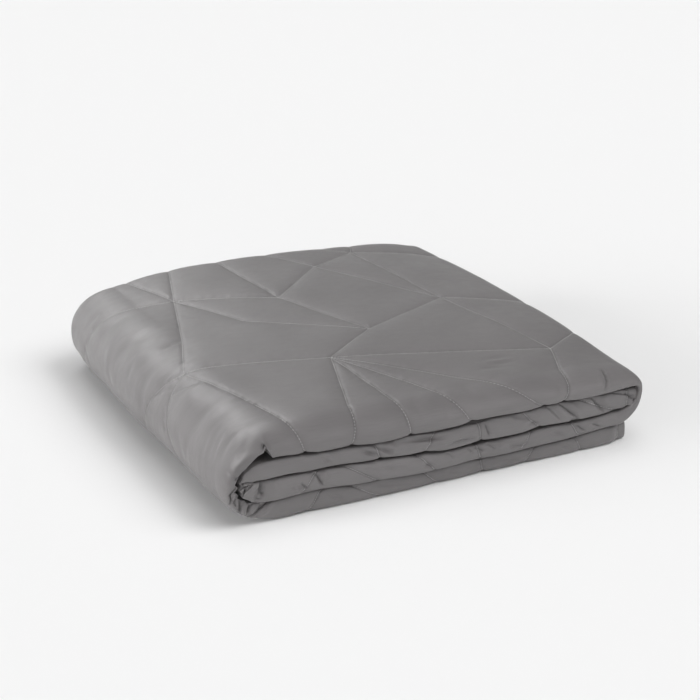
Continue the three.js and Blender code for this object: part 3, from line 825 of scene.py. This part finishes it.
def stand_ins(rows, stretch, run, parts):
    """For each grid point of the outer and the inner sheet the point that stands for it: itself where the
    cloth is in sight, else one of a coarser grid. On the cloth's edge the sheets share the outer's points.
    """
    number = np.arange(len(stretch) * len(run)).reshape(len(stretch), len(run))

    def thinned(row_stride, column_stride):
        column_for = strided(run, column_stride)
        column_for = np.where(np.isin(run, [FLAP_A, FLAP_B]), np.arange(len(run)), column_for)
        return number[strided(stretch, row_stride)[:, None], column_for[None, :]]

    turning = np.isin(stretch, BENDS)[:, None]
    hidden = np.where(turning, thinned(BEND_STRIDE, HIDDEN_STRIDE), thinned(HIDDEN_STRIDE, HIDDEN_STRIDE))
    along = rows - STARTS["left bend"]
    under_lip = ((along > 0) & (along < LIP["along"][-1] + LIP_MARGIN))[:, None]
    hidden = np.where(under_lip, thinned(1, HIDDEN_STRIDE), hidden)
    outer = np.where(parts["underside"], thinned(UNDERSIDE_STRIDE, UNDERSIDE_STRIDE), hidden)
    outer = np.where(parts["fine"], number, outer)
    outer = np.where(parts["low back"], thinned(BACK_STRIDE, 1), outer)
    outer = np.where(parts["left base"], thinned(LEFT_STRIDE, 1), outer)
    inner = outer.copy()
    inner[1:-1, 1:-1] = hidden[1:-1, 1:-1] + number.size
    return outer, inner


def sheet_triangles(stand, sewn):
    """Two triangles for each cell of the stand-in points, split along a seam that crosses the cell."""
    a, b, c, d = stand[:-1, :-1], stand[1:, :-1], stand[1:, 1:], stand[:-1, 1:]
    on_seam = np.tile(sewn.ravel(), 2)
    along_seam = (on_seam[a] & on_seam[c])[..., None]
    one = np.where(along_seam, np.stack([a, c, b], -1), np.stack([a, d, b], -1))
    two = np.where(along_seam, np.stack([a, d, c], -1), np.stack([b, d, c], -1))
    return np.concatenate([one.reshape(-1, 3), two.reshape(-1, 3)])


def blanket_mesh():
    """The cloth as two sheets over the same flat grid, the outer with its relief and the inner a cloth's
    thickness behind it, drawn together along the edges like a rounded hem and joined there.
    """
    rows, columns = grid_rows(), grid_columns()
    stretch, _ = stretch_at(rows + TINY)
    run = run_at(columns + TINY)
    parts = grid_parts(stretch, run)
    u, v, sewn = sewn_grid(rows, columns, stretch, run, parts["left base"])
    outer = cloth_points(u, v, sink=pressed(u, v, columns, run, parts))
    outer, inner = hemmed(u, v, outer, cloth_points(u, v, inner=True))
    outer_for, inner_for = stand_ins(rows, stretch, run, parts)
    faces = np.concatenate([sheet_triangles(outer_for, sewn), sheet_triangles(inner_for, sewn)[:, ::-1]])
    whole = (faces != np.roll(faces, 1, axis=1)).all(axis=1)
    used, faces = np.unique(faces[whole], return_inverse=True)
    points = np.concatenate([outer.reshape(-1, 3), inner.reshape(-1, 3)])[used]
    flat = np.tile(np.stack([u.ravel(), v.ravel()], -1), (2, 1))[used]
    return points * MM, faces.reshape(-1, 3), flat


def new_mesh(name, points, faces, material):
    """A smooth triangle mesh at the origin from arrays of points and corners."""
    mesh = bpy.data.meshes.new(name)
    mesh.vertices.add(len(points))
    mesh.vertices.foreach_set("co", points.astype(np.float32).ravel())
    mesh.loops.add(faces.size)
    mesh.loops.foreach_set("vertex_index", faces.astype(np.int32).ravel())
    mesh.polygons.add(len(faces))
    mesh.polygons.foreach_set("loop_start", np.arange(0, faces.size, 3, dtype=np.int32))
    mesh.update(calc_edges=True)
    mesh.polygons.foreach_set("use_smooth", np.ones(len(faces), bool))
    mesh.materials.append(material)
    piece = bpy.data.objects.new(name, mesh)
    bpy.context.scene.collection.objects.link(piece)
    return piece


def add_pattern(piece, faces, flat):
    """The flat cloth, in metres, as the UV map; as attributes the distance to the nearest seam, in metres,
    and the painted shade in the pinched creases.
    """
    layer = piece.data.uv_layers.new(name="flat_cloth")
    layer.data.foreach_set("uv", (flat[faces.ravel()] * MM).astype(np.float32).ravel())
    distance, _ = seam_field(*flat.T)
    _, painted_crease_shade = crease_depth(*flat.T)
    for name, values in (("seam_distance", distance * MM), ("painted_crease_shade", painted_crease_shade)):
        attribute = piece.data.attributes.new(name, "FLOAT", "POINT")
        attribute.data.foreach_set("value", values.astype(np.float32))


STITCH_PITCH, STITCH_LENGTH, THREAD = 3.4, 1.9, 0.42  # THREAD is the thread's radius
STITCH_PROUD = 0.35  # share of that radius by which a stitch's middle line stands off the cloth
STITCH_SIDES = 5
# Share of the stitch and of the thread's radius at each ring of a stitch
STITCH_RINGS = [(0.0, 0.25), (0.14, 0.85), (0.5, 1.0), (0.86, 0.85), (1.0, 0.25)]
UPRIGHT = 0.8  # a stitch that rises more steeply than this is taken as upright


def stitch_ends():
    """Both ends of every stitch in sight, on the flat cloth."""
    ends = []
    for begin, end in SEAM_LINES:
        length = np.hypot(*(end - begin))
        heading = (end - begin) / length
        middles = np.arange(STITCH_PITCH / 2, length, STITCH_PITCH)
        along = middles[:, None] + np.array([-0.5, 0.5]) * STITCH_LENGTH
        ends.append(begin + along[..., None] * heading)
    u, v = np.moveaxis(np.concatenate(ends), -1, 0)
    stretch, _ = stretch_at(u)
    run = run_at(v)
    in_sight = np.isin(run, FOLDS) | (np.isin(stretch, SHOWN) & (run == BASE))
    inside = (u > 0) & (u < STRIP_LENGTH) & (v > 0) & (v < STRIP_WIDTH)
    kept = (in_sight & inside).all(axis=1)
    return u[kept], v[kept]


def stitch_mesh():
    """Every stitch as a short round-ended thread: rings about the line between its two ends, each ring a
    circle square to that line.
    """
    u, v = stitch_ends()
    points = cloth_points(u, v, sink=relief(u, v) - THREAD * STITCH_PROUD)
    begin, end = points[:, 0], points[:, 1]
    axis = end - begin
    axis = axis / np.linalg.norm(axis, axis=1, keepdims=True)
    aside = np.cross(axis, np.where(np.abs(axis[:, 2:]) < UPRIGHT, [0, 0, 1], [1, 0, 0]))
    aside /= np.linalg.norm(aside, axis=1, keepdims=True)
    upward = np.cross(axis, aside)
    turn = (2 * np.pi * np.arange(STITCH_SIDES) / STITCH_SIDES)[None, :, None]
    spoke = (np.cos(turn) * aside[:, None, :] + np.sin(turn) * upward[:, None, :]) * THREAD
    share, size = np.array(STITCH_RINGS).T
    centre = begin[:, None, :] + share[None, :, None] * (end - begin)[:, None, :]
    rings = centre[:, :, None, :] + size[None, :, None, None] * spoke[:, None, :, :]

    corner = np.arange(len(share) * STITCH_SIDES).reshape(len(share), STITCH_SIDES)
    a, b = corner[:-1], corner[1:]
    c, d = np.roll(b, -1, axis=1), np.roll(a, -1, axis=1)
    side = np.concatenate([np.stack(three, -1).reshape(-1, 3) for three in ([a, d, b], [b, d, c])])
    step = np.arange(1, STITCH_SIDES - 1)
    fan = np.stack([np.zeros_like(step), step, step + 1], -1)
    one = np.concatenate([side, corner[0][fan[:, ::-1]], corner[-1][fan]])
    faces = one + (np.arange(len(begin)) * corner.size)[:, None, None]
    return rings.reshape(-1, 3) * MM, faces.reshape(-1, 3)


def new_material(name, values):
    """A node material with only its shader, which gets plain values: material, node tree and shader."""
    material = bpy.data.materials.new(name)
    material.use_nodes = True
    shader = material.node_tree.nodes["Principled BSDF"]
    for socket, value in values.items():
        shader.inputs[socket].default_value = value
    return material, material.node_tree, shader


def add_node(tree, kind, sockets=(), **settings):
    """A node with its settings; a socket gets a value, or a link where another node's output is given."""
    made = tree.nodes.new("ShaderNode" + kind)
    for name, value in settings.items():
        setattr(made, name, value)
    for name, value in dict(sockets).items():
        if isinstance(value, bpy.types.NodeSocket):
            tree.links.new(value, made.inputs[name])
        else:
            made.inputs[name].default_value = value
    return made


def cloth_noise(tree, cloth, size, detail, distortion=0.0):
    """Soft noise on the flat cloth; size is its grain along and across the strip in metres."""
    scale = [1 / size[0], 1 / size[1], 1]
    place = add_node(tree, "Mapping", {"Vector": cloth, "Scale": scale}, vector_type="POINT")
    sockets = {"Vector": place.outputs["Vector"], "Scale": 1.0, "Detail": detail, "Distortion": distortion}
    return add_node(tree, "TexNoise", sockets).outputs["Fac"]


def threads(tree, cloth, pitch, direction, distortion):
    """Parallel threads on the flat cloth at a pitch in metres: a sine wave across them."""
    wave_length = 0.1 * np.pi  # of the wave texture at scale 1
    sockets = {"Vector": cloth, "Scale": wave_length / pitch, "Distortion": distortion, "Detail": 1.0}
    return add_node(tree, "TexWave", sockets, bands_direction=direction).outputs["Fac"]


def spread(tree, value, low, high, to_low, to_high):
    """A value carried from one range to another and held at its ends; to_low may be a node's output."""
    sockets = {"Value": value, "From Min": low, "From Max": high, "To Min": to_low, "To Max": to_high}
    return add_node(tree, "MapRange", sockets).outputs["Result"]


def raised(tree, height, depth, strength, below=None):
    """A bump of a depth in metres, laid over the bump below it."""
    sockets = {"Height": height, "Distance": depth, "Strength": strength}
    if below is not None:
        sockets["Normal"] = below
    return add_node(tree, "Bump", sockets).outputs["Normal"]


def mixed(tree, way, share, a, b):
    """Two colours mixed: way is MIX or MULTIPLY, and share how much b counts."""
    sockets = {"Factor": share, "A": a, "B": b}
    return add_node(tree, "Mix", sockets, data_type="RGBA", blend_type=way).outputs["Result"]


# Linear colours of the cloth and its thread
SATIN_DARK, SATIN_PALE = (0.139, 0.131, 0.1325, 1), (0.1615, 0.152, 0.1535, 1)
THREAD_DARK, THREAD_PALE = (0.4, 0.39, 0.392, 1), (0.6, 0.59, 0.592, 1)
# Noise on the satin: its grain along and across the strip in metres, its detail and its distortion
TONE, SLUBS = ((0.12, 0.09), 3.0, 0.0), ((0.02, 0.0009), 2.0, 0.0)
# Of the two below, the second sets the patches in which the painted shade along the seams is darker and
# lighter
CRUMPLES, SEAM_SHADE_PATCHES = ((0.016, 0.011), 3.0, 0.6), ((0.045, 0.045), 1.0, 0.0)
# Its threads: pitch in metres, direction across them and distortion
WARP, WEFT = (0.0006, "Y", 0.4), (0.0016, "X", 0.8)
# Its bumps: depth in metres and strength
WARP_BUMP, WEFT_BUMP = (0.00008, 0.35), (0.00005, 0.25)
SLUB_BUMP, CRUMPLE_BUMP = (0.00012, 0.4), (0.0006, 0.35)
MIDDLE, WIDE, NARROW = (0.3, 0.7), (0.25, 0.75), (0.35, 0.65)  # ranges of noise that are carried over
SLUB_TONES = (0.92, 1.06)
SEAM_LINE = (0.0003, 0.0024)  # metres from a seam between which its painted shade line fades out
PAINTED_SEAM_SHADE_TONES = (0.62, 0.9)  # tones of that painted shade line, in its darker and its lighter patches
PAINTED_CREASE_SHADE_RANGE, PAINTED_CREASE_SHADE_TONE = (0.1, 1.0), 0.48  # painted shade in the pinched creases
SATIN_ROUGHNESS = (0.32, 0.42)
PLY_SCALE, PLY_BUMP = 700.0, (0.0001, 0.5)


def satin():
    """Grey satin on the flat cloth's own map: threads along the strip crossed by fewer ones, slubs, fine
    crumples and slow changes of tone and gloss, with painted shade as a darker line along the seam valleys
    and in the pinched creases.
    """
    values = {"Specular IOR Level": 0.8, "Sheen Weight": 0.2, "Sheen Roughness": 0.4}
    material, tree, shader = new_material("quilted_satin", values)
    cloth = add_node(tree, "UVMap", uv_map="flat_cloth").outputs["UV"]
    kinds = (TONE, SLUBS, CRUMPLES, SEAM_SHADE_PATCHES)
    # The last noise, drawn, sets the patches in which the painted shade along the seams is darker and
    # lighter
    tone, slubs, crumple, drawn = (cloth_noise(tree, cloth, *kind) for kind in kinds)
    warp, weft = (threads(tree, cloth, *kind) for kind in (WARP, WEFT))
    seam = add_node(tree, "Attribute", attribute_name="seam_distance").outputs["Fac"]
    painted_crease_shade = add_node(tree, "Attribute", attribute_name="painted_crease_shade").outputs["Fac"]

    colour = mixed(tree, "MIX", spread(tree, tone, *MIDDLE, 0.0, 1.0), SATIN_DARK, SATIN_PALE)
    # Painted shade: a darker line along the seam valleys, in patches, and in the pinched creases
    painted_seam_tone = spread(tree, drawn, *NARROW, *PAINTED_SEAM_SHADE_TONES)
    for shade in (
        spread(tree, slubs, *WIDE, *SLUB_TONES), spread(tree, seam, *SEAM_LINE, painted_seam_tone, 1.0),
        spread(tree, painted_crease_shade, *PAINTED_CREASE_SHADE_RANGE, 1.0, PAINTED_CREASE_SHADE_TONE),
    ):
        colour = mixed(tree, "MULTIPLY", 1.0, colour, shade)
    normal = None
    bumps = (WARP_BUMP, WEFT_BUMP, SLUB_BUMP, CRUMPLE_BUMP)
    for height, bump in zip((warp, weft, slubs, crumple), bumps):
        normal = raised(tree, height, *bump, normal)
    tree.links.new(colour, shader.inputs["Base Color"])
    tree.links.new(spread(tree, crumple, *MIDDLE, *SATIN_ROUGHNESS), shader.inputs["Roughness"])
    tree.links.new(normal, shader.inputs["Normal"])
    return material


def thread():
    """Pale grey sewing thread: two plies wound round each other, seen as slanted bands."""
    material, tree, shader = new_material("sewing_thread", {"Roughness": 0.55})
    place = add_node(tree, "TexCoord").outputs["Object"]
    sockets = {"Vector": place, "Scale": PLY_SCALE}
    plies = add_node(tree, "TexWave", sockets, bands_direction="DIAGONAL").outputs["Fac"]
    tree.links.new(mixed(tree, "MIX", plies, THREAD_DARK, THREAD_PALE), shader.inputs["Base Color"])
    tree.links.new(raised(tree, plies, *PLY_BUMP), shader.inputs["Normal"])
    return material


points, faces, flat = blanket_mesh()
blanket = new_mesh("quilted_blanket", points, faces, satin())
add_pattern(blanket, faces, flat)
stitch_points, stitch_faces = stitch_mesh()
stitches = new_mesh("quilting_stitches", stitch_points, stitch_faces, thread())

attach(blanket, "root")
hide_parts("blanket")
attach(stitches, "root")


FLOOR_HALF, FLOOR_COLOUR = 15.0, (0.9, 0.9, 0.9, 1)


def floor():
    """A wide plain floor."""
    corners = FLOOR_HALF * np.array([(-1, -1, 0), (1, -1, 0), (1, 1, 0), (-1, 1, 0)])
    values = {"Base Color": FLOOR_COLOUR, "Roughness": 0.9, "Specular IOR Level": 0.0}
    material, _, _ = new_material("pale_floor", values)
    piece = new_mesh("floor", corners, np.array([(0, 1, 2), (0, 2, 3)]), material)


# The lights: where each comes from, the width of its soft disc in degrees, its strength, and whether it
# lights matt surfaces and shows in the sheen
WORLD_STRENGTH = 0.207
LIGHTS = {
    "key": ((0.51, -0.41, 0.75), 40, 1.38, True, False),
    "overhead": ((0.1, 0.0, 1.0), 60, 1.04, True, False),
    "left": ((-0.96, 0.15, 0.12), 36, 2.35, True, False),
    "left_front": ((-0.8, -0.5, 0.12), 50, 0.98, True, False),
    "sheen_card": ((0.06, 0.78, 0.62), 32, 0.47, False, True),
    "sheen_core": ((0.02, 0.8, 0.6), 18, 0.18, False, True),
    "left_card": ((-0.53, 0.83, 0.15), 60, 0.9, False, True),
    "corner_card": ((-0.65, -0.05, 0.74), 50, 2.0, False, True),
    "front_card": ((0.42, -0.8, 0.42), 50, 0.42, False, True),
}


def studio():
    """Even soft light from all round and wide soft lights far away, so that the floor is evenly lit."""
    world = bpy.data.worlds.new("studio")
    world.use_nodes = True
    background = world.node_tree.nodes["Background"]
    background.inputs["Color"].default_value = (1, 1, 1, 1)
    background.inputs["Strength"].default_value = WORLD_STRENGTH
    bpy.context.scene.world = world
    for name, (place, disc, strength, matt, gloss) in LIGHTS.items():
        data = bpy.data.lights.new(name, "SUN")
        data.angle = np.radians(disc)
        data.energy = strength
        light = bpy.data.objects.new(name, data)
        light.visible_diffuse = matt
        light.visible_glossy = gloss
        light.rotation_mode = "QUATERNION"
        light.rotation_quaternion = (-Vector(place)).to_track_quat("-Z", "Y")
        bpy.context.scene.collection.objects.link(light)
    bpy.context.scene.view_settings.view_transform = "Standard"


# The camera, fitted to the photo: millimetres, degrees round the bundle and above the floor, and metres
LENS, SENSOR = 85.0, 36.0
CAMERA_AZIMUTH, CAMERA_ELEVATION, CAMERA_DISTANCE = -26.8, 21.7, 1.942
CAMERA_AIM = (0.0021, 0.0, 0.05)
CAMERA_SHIFT = (0.020, 0.0139)


def camera():
    """The photo's point of view: an angle round the bundle, one above the floor, and a distance."""
    data = bpy.data.cameras.new("camera")
    data.lens, data.sensor_width = LENS, SENSOR
    data.shift_x, data.shift_y = CAMERA_SHIFT
    eye = bpy.data.objects.new("camera", data)
    around, above = np.radians(CAMERA_AZIMUTH), np.radians(CAMERA_ELEVATION)
    back = Vector((np.sin(around) * np.cos(above), -np.cos(around) * np.cos(above), np.sin(above)))
    eye.location = Vector(CAMERA_AIM) + back * CAMERA_DISTANCE
    eye.rotation_mode = "QUATERNION"
    eye.rotation_quaternion = (-back).to_track_quat("-Z", "Y")
    bpy.context.scene.collection.objects.link(eye)
    bpy.context.scene.camera = eye


floor()
studio()
camera()
